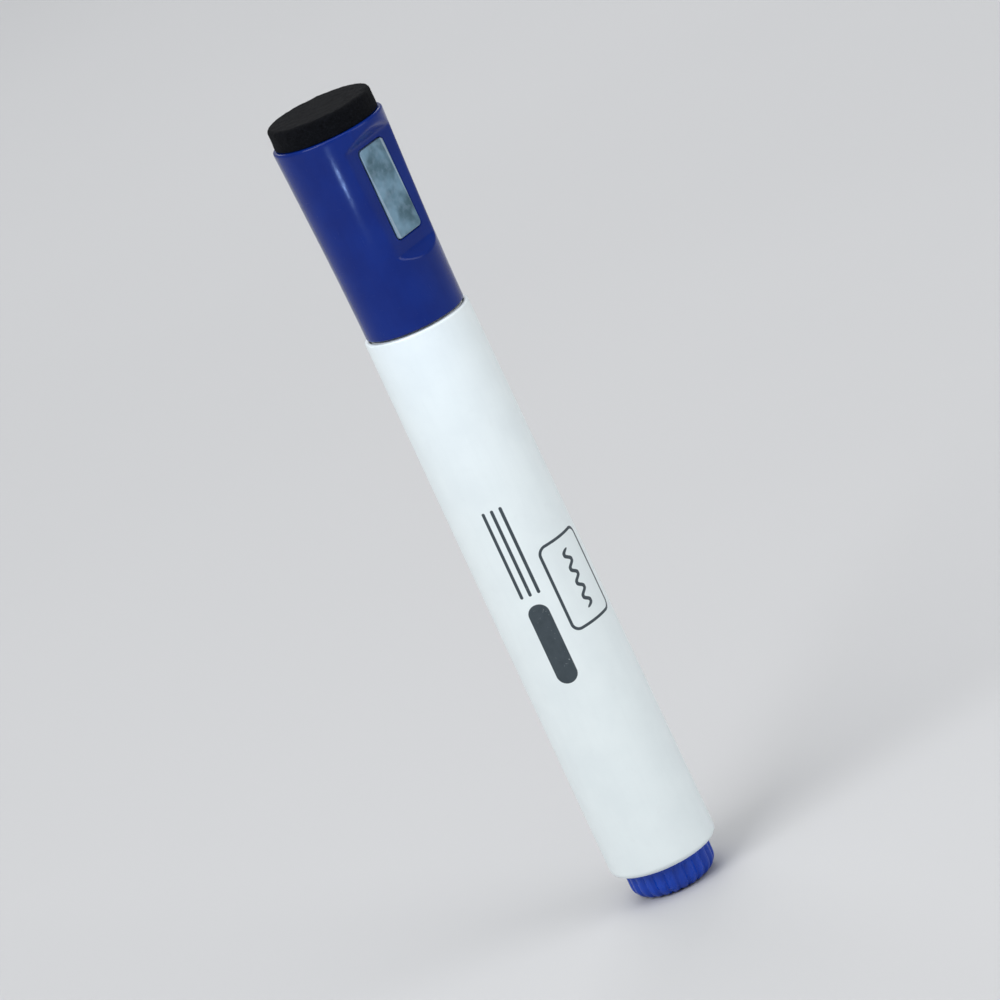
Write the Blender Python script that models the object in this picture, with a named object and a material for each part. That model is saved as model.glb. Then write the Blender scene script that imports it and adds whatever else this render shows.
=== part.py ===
"""A whiteboard marker: bullet nib, ribbed tail plug, and a pull-off cap that carries a magnet and an eraser.

It stands upright on its tail plug. Its axis is +Z, its cap points up, and the cap's magnet faces -Y.
The origin is the centre of the tail plug's flat end. Sizes are in metres, written as millimetres times MM.
"""

import math

import bmesh
import bpy
from mathutils import Matrix, Vector

MM = 0.001

# Clearances
CONTACT_GAP = 0.3 * MM  # between pieces that slide or rest on each other
GLUE_GAP = 0.2 * MM  # between layers that are glued together

# Barrel: a tube that widens a little towards its tail
BARREL_LENGTH = 95.1 * MM
BARREL_FRONT_RADIUS = 8.7 * MM
BARREL_TAPER = 0.3 * MM  # growth of the radius from the front to the tail
BARREL_WALL = 1.7 * MM  # measured at the front
BARREL_FRONT_FILLET = 0.3 * MM
BARREL_TAIL_FILLET = 1.1 * MM
TAIL_SOCKET_STEP = 0.5 * MM  # how much wider the tail socket is than the bore
FLANGE_SEAT_WIDTH = 1.0 * MM
FLANGE_SEAT_DEPTH = 1.2 * MM

# Tail plug: a cup with a ribbed grip
PLUG_GRIP_LENGTH = 5.1 * MM
PLUG_STEM_LENGTH = 8.0 * MM
PLUG_WALL = 1.3 * MM
PLUG_FLOOR = 2.2 * MM
PLUG_END_FILLET = 2.4 * MM
PLUG_RIBS = 24
PLUG_RIB_DEPTH = 0.32 * MM
PLUG_SIDES_PER_RIB = 4  # half of them stand out as the rib and half are pushed in as the groove

# Nose section: stem in the barrel, flange, cap seat, cone and nib holder
NOSE_STEM_LENGTH = 7.8 * MM
NOSE_WALL = 1.0 * MM
CAP_SEAT_LENGTH = 7.6 * MM
CAP_SEAT_FILLET = 1.2 * MM
SNAP_BEAD_HEIGHT = 0.15 * MM
SNAP_BEAD_WIDTH = 1.2 * MM
SNAP_BEAD_RISE = 3.8 * MM  # from the barrel's front to the middle of the bead
CONE_LENGTH = 4.2 * MM
CONE_SHOULDER_RISE = 1.4 * MM  # from the top of the cap seat to the cone's change of slope
NIB_HOLDER_LENGTH = 1.9 * MM
NIB_HOLDER_WALL = 0.75 * MM
NIB_TUBE_DEPTH = 14.0 * MM  # from the nib holder's mouth down to the tube's lower end
VENT_GROOVES = 3
VENT_GROOVE_WIDTH = 0.7 * MM
VENT_GROOVE_DEPTH = 0.35 * MM

# Nib: a bullet-tipped fibre rod
NIB_RADIUS = 2.15 * MM
NIB_PROTRUSION = 4.3 * MM
NIB_TIP_LENGTH = 2.8 * MM
NIB_TIP_RADIUS = 1.1 * MM
NIB_REAR_CHAMFER = 0.7 * MM
NIB_SOCKET_DEPTH = 5.0 * MM  # how far the nib reaches into the ink reservoir

# Ink reservoir: a fibre core in a film sleeve
FILM_AIR_GAP = 0.4 * MM  # air space between the film and the barrel's bore
FILM_THICKNESS = 0.2 * MM
FILM_SETBACK = 1.0 * MM  # how far each end of the core shows past the film
RESERVOIR_FILLET = 0.6 * MM

# Cap shell: straight at its mouth and flared towards its rim. Its length is what its seat and its magnet need.
CAP_SEAM_STEP = 0.5 * MM  # how much slimmer the cap's mouth is than the barrel's front
CAP_FLARE = 0.95 * MM  # growth of the radius from the mouth to the rim
CAP_FLARE_POWER = 1.5
CAP_FLARE_STEPS = 9
CAP_MOUTH_WALL = 0.85 * MM
CAP_MOUTH_FILLET = 0.2 * MM
CAP_RIM_FILLET = 0.4 * MM
CAP_BORE_CLEARANCE = 0.9 * MM  # from the top of the cap seat to the end of the cap's straight bore
CAP_WEB_THICKNESS = 1.0 * MM
SNAP_GROOVE_DEPTH = 0.2 * MM

# Cap seal: a soft inner cup over the nib
SEAL_WALL = 0.7 * MM
SEAL_CEILING = 0.8 * MM
SEAL_HEADROOM = 4.6 * MM  # from the nib's tip to the seal's ceiling
SEAL_FLANGE_WIDTH = 1.2 * MM
SEAL_FLANGE_THICKNESS = 0.8 * MM

# Magnet and the flat that it sits in
MAGNET_LENGTH = 15.0 * MM
MAGNET_WIDTH = 6.0 * MM
MAGNET_THICKNESS = 1.4 * MM
MAGNET_CORNER = 0.7 * MM
MAGNET_CORNER_STEPS = 3
MAGNET_PROUD = 0.1 * MM
MAGNET_BELOW_RIM = 4.1 * MM
FLAT_ABOVE_BORE = 3.5 * MM  # from the end of the cap's straight bore up to the flat
FLAT_DEPTH = 1.27 * MM  # from the surface at the cap's mouth to the flat
FLAT_MARGIN_TOP = 0.9 * MM
FLAT_MARGIN_BOTTOM = 2.0 * MM
FLAT_RAMP_TOP = 2.0 * MM
FLAT_RAMP_BOTTOM = 1.0 * MM

# Eraser: a felt pad glued to a holder that plugs the cap's top
ERASER_HEIGHT = 3.7 * MM  # from the cap's rim to the top of the felt
ERASER_INSET = 0.45 * MM  # from the cap's rim in to the felt's side
ERASER_FILLET = 0.8 * MM
HOLDER_SEAT_WIDTH = 1.45 * MM  # from the cap's rim in to the wall of the holder's seat
HOLDER_DISC_THICKNESS = 0.8 * MM
HOLDER_BOSS_WALL = 0.8 * MM
HOLDER_BOSS_CLEARANCE = 1.9 * MM  # from the boss's lower end to the cap's web
ADHESIVE_THICKNESS = 0.3 * MM
ADHESIVE_INSET = 0.4 * MM

# Mesh resolution
OUTER_SIDES = 72
NOSE_SIDES = 48
HIDDEN_SIDES = 32
NIB_SIDES = 32
ARC_STEPS = 3
SMOOTH_ANGLE = math.radians(30)
ROUND_PROFILE = 0.5  # a bevel profile that is a circular arc
MERGE_DISTANCE = 1e-7
CUTTER_MARGIN = 1.0 * MM

# Looks, as (linear colour, roughness, metallic)
WHITE_PLASTIC = ((0.78, 0.81, 0.80), 0.35, 0.0)
CAP_BLUE_PLASTIC = ((0.015, 0.025, 0.25), 0.3, 0.0)
PLUG_BLUE_PLASTIC = ((0.02, 0.05, 0.36), 0.35, 0.0)
SOFT_WHITE_PLASTIC = ((0.75, 0.77, 0.78), 0.5, 0.0)
INKED_FIBRE = ((0.04, 0.08, 0.45), 0.95, 0.0)
CLEAR_FILM = ((0.7, 0.75, 0.8), 0.25, 0.0)
DULL_METAL = ((0.3, 0.33, 0.33), 0.45, 0.6)
CREAM_FOAM = ((0.7, 0.68, 0.6), 0.6, 0.0)
BLACK_FELT = ((0.012, 0.011, 0.012), 0.95, 0.0)

# Heights, from the tail up
barrel_tail = PLUG_GRIP_LENGTH
barrel_front = barrel_tail + BARREL_LENGTH
cap_mouth = barrel_front + CONTACT_GAP
cap_seat_top = barrel_front + CAP_SEAT_LENGTH
cap_bore_end = cap_seat_top + CAP_BORE_CLEARANCE
flat_bottom = cap_bore_end + FLAT_ABOVE_BORE
magnet_bottom = flat_bottom + FLAT_MARGIN_BOTTOM
magnet_top = magnet_bottom + MAGNET_LENGTH
flat_top = magnet_top + FLAT_MARGIN_TOP
cap_rim = magnet_top + MAGNET_BELOW_RIM
eraser_top = cap_rim + ERASER_HEIGHT
cone_top = cap_seat_top + CONE_LENGTH
nib_holder_top = cone_top + NIB_HOLDER_LENGTH
nib_tip = nib_holder_top + NIB_PROTRUSION
nose_stem_end = barrel_front - FLANGE_SEAT_DEPTH - NOSE_STEM_LENGTH
plug_stem_top = barrel_tail + PLUG_STEM_LENGTH
reservoir_bottom = plug_stem_top + CONTACT_GAP
reservoir_top = nose_stem_end - CONTACT_GAP
seal_flange_bottom = cone_top + CONTACT_GAP
seal_flange_top = seal_flange_bottom + SEAL_FLANGE_THICKNESS
seal_ceiling = nib_tip + SEAL_HEADROOM
seal_top = seal_ceiling + SEAL_CEILING
web_bottom = seal_top + CONTACT_GAP
web_top = web_bottom + CAP_WEB_THICKNESS
felt_bottom = cap_rim + CONTACT_GAP
adhesive_bottom = felt_bottom - GLUE_GAP - ADHESIVE_THICKNESS
holder_bottom = adhesive_bottom - GLUE_GAP - HOLDER_DISC_THICKNESS
holder_seat_floor = holder_bottom - CONTACT_GAP

# Radii, from the outside in
barrel_tail_radius = BARREL_FRONT_RADIUS + BARREL_TAPER
bore_radius = BARREL_FRONT_RADIUS - BARREL_WALL
tail_socket_radius = bore_radius + TAIL_SOCKET_STEP
flange_seat_radius = bore_radius + FLANGE_SEAT_WIDTH
plug_radius = tail_socket_radius - CONTACT_GAP
nose_stem_radius = bore_radius - CONTACT_GAP
film_radius = bore_radius - FILM_AIR_GAP
reservoir_radius = film_radius - FILM_THICKNESS - GLUE_GAP
cap_mouth_radius = BARREL_FRONT_RADIUS - CAP_SEAM_STEP
cap_rim_radius = cap_mouth_radius + CAP_FLARE
cap_bore_radius = cap_mouth_radius - CAP_MOUTH_WALL
cap_seat_radius = cap_bore_radius - CONTACT_GAP
flat_offset = cap_mouth_radius - FLAT_DEPTH
holder_seat_radius = cap_rim_radius - HOLDER_SEAT_WIDTH
eraser_radius = cap_rim_radius - ERASER_INSET

# Radii around the nib, from the inside out
nib_bore_radius = NIB_RADIUS + CONTACT_GAP
nib_holder_radius = nib_bore_radius + NIB_HOLDER_WALL
seal_inner_radius = nib_holder_radius + CONTACT_GAP
seal_outer_radius = seal_inner_radius + SEAL_WALL
chamber_radius = seal_outer_radius + CONTACT_GAP
seal_flange_radius = seal_outer_radius + SEAL_FLANGE_WIDTH
seal_shoulder_radius = seal_flange_radius + CONTACT_GAP


def clear_scene():
    for obj in list(bpy.data.objects):
        bpy.data.objects.remove(obj, do_unlink=True)


def make_material(name, look):
    colour, roughness, metallic = look
    material = bpy.data.materials.new(name)
    material.use_nodes = True
    shader = material.node_tree.nodes["Principled BSDF"]
    shader.inputs["Base Color"].default_value = (*colour, 1.0)
    shader.inputs["Roughness"].default_value = roughness
    shader.inputs["Metallic"].default_value = metallic
    return material


def rounded(corners):
    """The outline's points (radius, height) from corners given as (radius, height, fillet radius)."""
    points = []
    for index, (radius, height, fillet) in enumerate(corners):
        corner = Vector((radius, height))
        if fillet == 0:
            points.append(corner)
            continue
        before = (Vector(corners[index - 1][:2]) - corner).normalized()
        after = (Vector(corners[(index + 1) % len(corners)][:2]) - corner).normalized()
        half_angle = before.angle(after) / 2
        centre = corner + (before + after).normalized() * fillet / math.sin(half_angle)
        reach = fillet / math.tan(half_angle)
        first = corner + before * reach - centre
        last = corner + after * reach - centre
        start = math.atan2(first.y, first.x)
        sweep = math.remainder(math.atan2(last.y, last.x) - start, 2 * math.pi)
        for step in range(ARC_STEPS + 1):
            angle = start + sweep * step / ARC_STEPS
            points.append(centre + fillet * Vector((math.cos(angle), math.sin(angle))))
    return points


def add_object(name, bm, material):
    """A smooth-shaded object from a bmesh, with outward faces and sharp edges kept sharp."""
    bmesh.ops.remove_doubles(bm, verts=bm.verts, dist=MERGE_DISTANCE)
    bmesh.ops.recalc_face_normals(bm, faces=bm.faces)
    mesh = bpy.data.meshes.new(name)
    bm.to_mesh(mesh)
    bm.free()
    mesh.shade_smooth()
    mesh.set_sharp_from_angle(angle=SMOOTH_ANGLE)
    obj = bpy.data.objects.new(name, mesh)
    bpy.context.collection.objects.link(obj)
    if material:
        mesh.materials.append(material)
    return obj


def spun(outline, sides, closed):
    """A bmesh of the outline turned about Z. An outline that isn't closed begins and ends on the axis."""
    bm = bmesh.new()
    verts = [bm.verts.new((point[0], 0, point[1])) for point in outline]
    edges = [bm.edges.new(pair) for pair in zip(verts, verts[1:])]
    if closed:
        edges.append(bm.edges.new((verts[-1], verts[0])))
    bmesh.ops.spin(
        bm,
        geom=verts + edges,
        cent=(0, 0, 0),
        axis=(0, 0, 1),
        angle=2 * math.pi,
        steps=sides,
        use_merge=True,
    )
    return bm


def turned(name, outline, material, sides, closed=True):
    return add_object(name, spun(outline, sides, closed), material)


def block(low, high, corner_radius=0.0):
    """A bmesh box between two corners, with its edges along Y rounded by the corner radius."""
    bm = bmesh.new()
    bmesh.ops.create_cube(bm, size=1.0)
    centre = (Vector(low) + Vector(high)) / 2
    size = Vector(high) - Vector(low)
    bmesh.ops.transform(bm, matrix=Matrix.Translation(centre) @ Matrix.Diagonal((*size, 1.0)), verts=bm.verts)
    if corner_radius:
        along_y = [edge for edge in bm.edges if abs(edge.verts[0].co.y - edge.verts[1].co.y) > size.y / 2]
        bmesh.ops.bevel(
            bm,
            geom=along_y,
            offset=corner_radius,
            segments=MAGNET_CORNER_STEPS,
            profile=ROUND_PROFILE,
            affect="EDGES",
        )
    return bm


def cut(obj, name, cutter_bm):
    """Takes the cutter's shape out of the object, with a Boolean that stays on it."""
    cutter = add_object(name, cutter_bm, None)
    cutter.hide_render = True
    cutter.display_type = "WIRE"
    modifier = obj.modifiers.new(name, "BOOLEAN")
    modifier.operation = "DIFFERENCE"
    modifier.solver = "EXACT"
    modifier.object = cutter


def make_barrel(material):
    seat_floor = barrel_front - FLANGE_SEAT_DEPTH
    socket_end = plug_stem_top + CONTACT_GAP
    outline = rounded([
        (tail_socket_radius, barrel_tail, 0),
        (barrel_tail_radius, barrel_tail, BARREL_TAIL_FILLET),
        (BARREL_FRONT_RADIUS, barrel_front, BARREL_FRONT_FILLET),
        (flange_seat_radius, barrel_front, 0),
        (flange_seat_radius, seat_floor, 0),
        (bore_radius, seat_floor, 0),
        (bore_radius, socket_end, 0),
        (tail_socket_radius, socket_end, 0),
    ])
    return turned("barrel", outline, material, OUTER_SIDES)


def make_tail_plug(material):
    """A cup that opens upwards. Half of the sides of each rib are pushed in along the grip, to leave a groove."""
    cup_radius = plug_radius - PLUG_WALL
    outline = rounded([
        (0, 0, 0),
        (plug_radius, 0, PLUG_END_FILLET),
        (plug_radius, barrel_tail - CONTACT_GAP, 0),
        (plug_radius, plug_stem_top, 0),
        (cup_radius, plug_stem_top, 0),
        (cup_radius, PLUG_FLOOR, 0),
        (0, PLUG_FLOOR, 0),
    ])
    sides = PLUG_RIBS * PLUG_SIDES_PER_RIB
    bm = spun(outline, sides, closed=False)
    bmesh.ops.remove_doubles(bm, verts=bm.verts, dist=MERGE_DISTANCE)
    flat_end_radius = plug_radius - PLUG_END_FILLET
    for vert in bm.verts:
        radius = vert.co.xy.length
        on_grip = vert.co.z < barrel_tail - CONTACT_GAP / 2 and radius > flat_end_radius + PLUG_RIB_DEPTH
        is_inside = radius < cup_radius + PLUG_RIB_DEPTH and vert.co.z > PLUG_FLOOR / 2
        side = round(math.atan2(vert.co.y, vert.co.x) / (2 * math.pi) * sides) % PLUG_SIDES_PER_RIB
        if on_grip and not is_inside and side < PLUG_SIDES_PER_RIB // 2:
            vert.co.xy *= (radius - PLUG_RIB_DEPTH) / radius
    return add_object("tail_plug", bm, material)


def make_nose_section(material):
    flange_radius = flange_seat_radius - CONTACT_GAP
    flange_bottom = barrel_front - FLANGE_SEAT_DEPTH + CONTACT_GAP
    stem_inner_radius = nose_stem_radius - NOSE_WALL
    bead_middle = barrel_front + SNAP_BEAD_RISE
    bead_radius = cap_seat_radius + SNAP_BEAD_HEIGHT
    tube_radius = nib_bore_radius + NIB_HOLDER_WALL
    cone_shoulder_radius = (cap_seat_radius + nib_holder_radius) / 2  # halfway in
    outline = rounded([
        (stem_inner_radius, nose_stem_end, 0),
        (nose_stem_radius, nose_stem_end, CONTACT_GAP),
        (nose_stem_radius, flange_bottom, 0),
        (flange_radius, flange_bottom, 0),
        (flange_radius, barrel_front, 0),
        (cap_seat_radius, barrel_front, 0),
        (cap_seat_radius, bead_middle - SNAP_BEAD_WIDTH / 2, 0),
        (bead_radius, bead_middle, 0),
        (cap_seat_radius, bead_middle + SNAP_BEAD_WIDTH / 2, 0),
        (cap_seat_radius, cap_seat_top, CAP_SEAT_FILLET),
        (cone_shoulder_radius, cap_seat_top + CONE_SHOULDER_RISE, 0),
        (nib_holder_radius, cone_top, CONTACT_GAP),
        (nib_holder_radius, nib_holder_top, CONTACT_GAP),
        (nib_bore_radius, nib_holder_top, 0),
        (nib_bore_radius, nib_holder_top - NIB_TUBE_DEPTH, 0),
        (tube_radius, nib_holder_top - NIB_TUBE_DEPTH, 0),
        (tube_radius, cap_seat_top, 0),
        (stem_inner_radius, cap_seat_top - NOSE_WALL, 0),
    ])
    nose = turned("nose_section", outline, material, NOSE_SIDES)
    groove_reach = nib_bore_radius + VENT_GROOVE_DEPTH
    for number in range(VENT_GROOVES):
        groove = block(
            (NIB_RADIUS, -VENT_GROOVE_WIDTH / 2, nib_holder_top - NIB_TUBE_DEPTH - CUTTER_MARGIN),
            (groove_reach, VENT_GROOVE_WIDTH / 2, nib_holder_top + CUTTER_MARGIN),
        )
        angle = 2 * math.pi * (number + 0.5) / VENT_GROOVES
        bmesh.ops.rotate(groove, verts=groove.verts, matrix=Matrix.Rotation(angle, 3, "Z"))
        cut(nose, f"vent_groove_cutter_{number + 1}", groove)
    return nose


def make_nib(material):
    rear = reservoir_top - NIB_SOCKET_DEPTH + CONTACT_GAP
    outline = rounded([
        (0, rear, 0),
        (NIB_RADIUS - NIB_REAR_CHAMFER, rear, 0),
        (NIB_RADIUS, rear + 2 * NIB_REAR_CHAMFER, 0),
        (NIB_RADIUS, nib_tip - NIB_TIP_LENGTH, NIB_RADIUS),
        (NIB_TIP_RADIUS + CONTACT_GAP, nib_tip, NIB_TIP_RADIUS),
        (0, nib_tip, 0),
    ])
    return turned("nib", outline, material, NIB_SIDES, closed=False)


def make_ink_reservoir(material):
    socket_bottom = reservoir_top - NIB_SOCKET_DEPTH
    outline = rounded([
        (0, reservoir_bottom, 0),
        (reservoir_radius, reservoir_bottom, RESERVOIR_FILLET),
        (reservoir_radius, reservoir_top, RESERVOIR_FILLET),
        (nib_bore_radius, reservoir_top, 0),
        (nib_bore_radius, socket_bottom, 0),
        (0, socket_bottom, 0),
    ])
    return turned("ink_reservoir", outline, material, HIDDEN_SIDES, closed=False)


def make_reservoir_film(material):
    bottom = reservoir_bottom + FILM_SETBACK
    top = reservoir_top - FILM_SETBACK
    outline = [
        (film_radius - FILM_THICKNESS, bottom),
        (film_radius, bottom),
        (film_radius, top),
        (film_radius - FILM_THICKNESS, top),
    ]
    return turned("reservoir_film", outline, material, HIDDEN_SIDES)


def cap_outer_radius(height):
    """The cap's outer radius, which grows faster towards the rim."""
    share = (height - cap_mouth) / (cap_rim - cap_mouth)
    return cap_mouth_radius + CAP_FLARE * share**CAP_FLARE_POWER


def flat_cutter():
    """A bar along X whose inner face is the flat, with a sloping ramp above and below it."""
    reach = cap_rim_radius + CUTTER_MARGIN
    slope_top = FLAT_RAMP_TOP / (cap_outer_radius(flat_top) - flat_offset)
    slope_bottom = FLAT_RAMP_BOTTOM / (cap_outer_radius(flat_bottom) - flat_offset)
    bm = bmesh.new()
    corners = [
        (-flat_offset, flat_bottom),
        (-flat_offset, flat_top),
        (-reach, flat_top + (reach - flat_offset) * slope_top),
        (-reach, flat_bottom - (reach - flat_offset) * slope_bottom),
    ]
    face = bm.faces.new([bm.verts.new((-reach, y, z)) for y, z in corners])
    extruded = bmesh.ops.extrude_face_region(bm, geom=[face])
    moved = [item for item in extruded["geom"] if isinstance(item, bmesh.types.BMVert)]
    bmesh.ops.translate(bm, vec=(2 * reach, 0, 0), verts=moved)
    return bm


def make_cap_shell(material):
    flare = []
    for step in range(CAP_FLARE_STEPS):
        height = cap_mouth + (cap_rim - cap_mouth) * (step + 1) / (CAP_FLARE_STEPS + 1)
        flare.append((cap_outer_radius(height), height, 0))
    shoulder = seal_flange_top + CONTACT_GAP
    groove_middle = barrel_front + SNAP_BEAD_RISE
    outline = rounded([
        (0, web_bottom, 0),
        (chamber_radius, web_bottom, 0),
        (chamber_radius, shoulder, 0),
        (seal_shoulder_radius, shoulder, 0),
        (seal_shoulder_radius, seal_flange_bottom, 0),
        (cap_bore_radius, cap_bore_end, 0),
        (cap_bore_radius, groove_middle + SNAP_BEAD_WIDTH / 2, 0),
        (cap_bore_radius + SNAP_GROOVE_DEPTH, groove_middle, 0),
        (cap_bore_radius, groove_middle - SNAP_BEAD_WIDTH / 2, 0),
        (cap_bore_radius, cap_mouth, CAP_MOUTH_FILLET),
        (cap_mouth_radius, cap_mouth, CAP_MOUTH_FILLET),
        *flare,
        (cap_rim_radius, cap_rim, CAP_RIM_FILLET),
        (holder_seat_radius, cap_rim, 0),
        (holder_seat_radius, holder_seat_floor, 0),
        (chamber_radius, holder_seat_floor, 0),
        (chamber_radius, web_top, 0),
        (0, web_top, 0),
    ])
    cap = turned("cap_shell", outline, material, OUTER_SIDES, closed=False)
    cut(cap, "magnet_flat_cutter", flat_cutter())
    pocket_floor = flat_offset + MAGNET_PROUD - MAGNET_THICKNESS - CONTACT_GAP
    pocket = block(
        (-MAGNET_WIDTH / 2 - CONTACT_GAP, -cap_rim_radius, magnet_bottom - CONTACT_GAP),
        (MAGNET_WIDTH / 2 + CONTACT_GAP, -pocket_floor, magnet_top + CONTACT_GAP),
        MAGNET_CORNER + CONTACT_GAP,
    )
    cut(cap, "magnet_pocket_cutter", pocket)
    return cap


def make_cap_seal(material):
    outline = [
        (0, seal_ceiling),
        (seal_inner_radius, seal_ceiling),
        (seal_inner_radius, seal_flange_bottom),
        (seal_flange_radius, seal_flange_bottom),
        (seal_flange_radius, seal_flange_top),
        (seal_outer_radius, seal_flange_top),
        (seal_outer_radius, seal_top),
        (0, seal_top),
    ]
    return turned("cap_seal", outline, material, HIDDEN_SIDES, closed=False)


def make_magnet(material):
    face = flat_offset + MAGNET_PROUD
    bm = block(
        (-MAGNET_WIDTH / 2, -face, magnet_bottom),
        (MAGNET_WIDTH / 2, MAGNET_THICKNESS - face, magnet_top),
        MAGNET_CORNER,
    )
    return add_object("magnet", bm, material)


def make_eraser_holder(material):
    """A disc with a hollow boss below it that plugs the cap's top."""
    boss_radius = chamber_radius - CONTACT_GAP
    boss_bottom = web_top + HOLDER_BOSS_CLEARANCE
    disc_top = holder_bottom + HOLDER_DISC_THICKNESS
    outline = [
        (0, disc_top),
        (holder_seat_radius - CONTACT_GAP, disc_top),
        (holder_seat_radius - CONTACT_GAP, holder_bottom),
        (boss_radius, holder_bottom),
        (boss_radius, boss_bottom),
        (boss_radius - HOLDER_BOSS_WALL, boss_bottom),
        (boss_radius - HOLDER_BOSS_WALL, holder_bottom),
        (0, holder_bottom),
    ]
    return turned("eraser_holder", outline, material, HIDDEN_SIDES, closed=False)


def make_eraser_adhesive(material):
    radius = holder_seat_radius - CONTACT_GAP - ADHESIVE_INSET
    top = adhesive_bottom + ADHESIVE_THICKNESS
    outline = [(0, adhesive_bottom), (radius, adhesive_bottom), (radius, top), (0, top)]
    return turned("eraser_adhesive", outline, material, HIDDEN_SIDES, closed=False)


def make_eraser_felt(material):
    outline = rounded([
        (0, felt_bottom, 0),
        (eraser_radius, felt_bottom, 0),
        (eraser_radius, eraser_top, ERASER_FILLET),
        (0, eraser_top, 0),
    ])
    return turned("eraser_felt", outline, material, OUTER_SIDES, closed=False)


def build():
    clear_scene()
    make_barrel(make_material("barrel", WHITE_PLASTIC))
    make_tail_plug(make_material("tail_plug", PLUG_BLUE_PLASTIC))
    make_nose_section(make_material("nose_section", WHITE_PLASTIC))
    make_nib(make_material("nib", INKED_FIBRE))
    make_ink_reservoir(make_material("ink_reservoir", INKED_FIBRE))
    make_reservoir_film(make_material("reservoir_film", CLEAR_FILM))
    make_cap_shell(make_material("cap_shell", CAP_BLUE_PLASTIC))
    make_cap_seal(make_material("cap_seal", SOFT_WHITE_PLASTIC))
    make_magnet(make_material("magnet", DULL_METAL))
    make_eraser_holder(make_material("eraser_holder", CAP_BLUE_PLASTIC))
    make_eraser_adhesive(make_material("eraser_adhesive", CREAM_FOAM))
    make_eraser_felt(make_material("eraser_felt", BLACK_FELT))


build()
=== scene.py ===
"""Looks of the whiteboard marker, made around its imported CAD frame.

Lengths are in metres, written as millimetres times MM, except in the shaders and the print, which are in
millimetres. A bearing is an angle around the marker's axis, Z: 0 is the magnet's side (-Y), and it grows
towards +X.
"""

import math
import random

import bmesh
import bpy
from mathutils import Matrix, Vector, noise


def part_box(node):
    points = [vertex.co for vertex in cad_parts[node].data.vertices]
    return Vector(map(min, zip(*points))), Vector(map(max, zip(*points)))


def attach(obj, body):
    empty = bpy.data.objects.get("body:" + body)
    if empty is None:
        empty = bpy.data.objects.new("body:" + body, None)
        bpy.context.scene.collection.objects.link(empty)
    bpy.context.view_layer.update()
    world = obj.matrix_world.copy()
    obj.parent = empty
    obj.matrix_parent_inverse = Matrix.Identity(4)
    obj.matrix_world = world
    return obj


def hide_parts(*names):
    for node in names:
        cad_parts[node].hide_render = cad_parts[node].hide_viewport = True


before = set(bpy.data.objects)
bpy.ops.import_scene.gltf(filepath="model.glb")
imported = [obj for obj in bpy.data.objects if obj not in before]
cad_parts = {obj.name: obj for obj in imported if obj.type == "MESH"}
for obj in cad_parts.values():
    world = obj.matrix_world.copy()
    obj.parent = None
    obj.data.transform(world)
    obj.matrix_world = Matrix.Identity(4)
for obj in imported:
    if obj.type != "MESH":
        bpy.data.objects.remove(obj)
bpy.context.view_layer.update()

MM = 0.001
TURN = 2 * math.pi

# Mesh resolution
OUTER_SIDES = 192
CAP_SIDES = 480
NIB_SIDES = 96
HIDDEN_SIDES = 128
ARC_STEPS = 7
CAP_ROW_HEIGHT = 0.15 * MM  # at the flat's ramps
CAP_WIDE_ROW_HEIGHT = 0.45 * MM  # elsewhere
SHARP_ANGLE = math.radians(38)
MERGE_DISTANCE = 1e-7

# View: the camera's bearing and elevation, and how far the marker leans to the left in the picture
VIEW_BEARING = math.radians(-45)
VIEW_ELEVATION = math.radians(15)
VIEW_LEAN = math.radians(25)
VIEW_DISTANCE = 1.0
VIEW_LENS = 232.0  # millimetres, for a sensor 36 wide

# Moulded edges
EDGE = 0.15 * MM  # rounding of an ordinary moulded edge
SOFT_EDGE = 0.3 * MM

# Barrel
BARREL_FRONT_RADIUS = 8.7 * MM
BARREL_TAIL_RADIUS = 9.0 * MM
BARREL_TAIL_FILLET = 1.1 * MM
BORE_RADIUS = 7.0 * MM
TAIL_SOCKET_RADIUS = 7.5 * MM
TAIL_SOCKET_CLEARANCE = 0.3 * MM
FLANGE_SEAT_RADIUS = 8.0 * MM
FLANGE_SEAT_DEPTH = 1.2 * MM
PARTING_BEARING = math.radians(35)
PARTING_RIDGE = 0.02 * MM
PARTING_WIDTH = 0.25 * MM

# Tail plug
PLUG_RADIUS = 7.2 * MM
PLUG_WALL = 1.3 * MM
PLUG_FLOOR = 2.2 * MM
PLUG_END_FILLET = 2.4 * MM
PLUG_RIBS = 24
PLUG_SIDES_PER_RIB = 12
PLUG_GROOVE_DEPTH = 0.4 * MM
PLUG_GROOVE_SHARPNESS = 2.2  # above 1, the grooves are narrower than the ribs
PLUG_GROOVE_RUN_OUT = 0.5 * MM
PLUG_COLLAR_GAP = 0.3 * MM
PLUG_ROW_HEIGHT = 0.35 * MM
GATE_RADIUS = 0.75 * MM  # dimple that the moulding gate leaves in the plug's flat end
GATE_DEPTH = 0.14 * MM

# Nose section
STEM_RADIUS = 6.7 * MM
STEM_WALL = 1.0 * MM
FLANGE_RADIUS = 7.7 * MM
FLANGE_THICKNESS = 0.9 * MM
CAP_SEAT_RADIUS = 7.05 * MM
CAP_SEAT_LENGTH = 7.6 * MM
SNAP_HEIGHT = 0.15 * MM
SNAP_WIDTH = 1.2 * MM
SNAP_RISE = 3.8 * MM  # from the barrel's front to the middle of the snap bead
NIB_HOLDER_RADIUS = 3.2 * MM
NIB_HOLDER_LENGTH = 1.9 * MM
NIB_BORE_RADIUS = 2.45 * MM
NIB_TUBE_DEPTH = 14.0 * MM
CONE_STEPS = 10
CONE_CURVE = 1.7  # 1 makes a straight cone, and above 1 its side is hollow
VENT_GROOVES = 3
VENT_WIDTH = 0.7 * MM
VENT_DEPTH = 0.35 * MM

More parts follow.
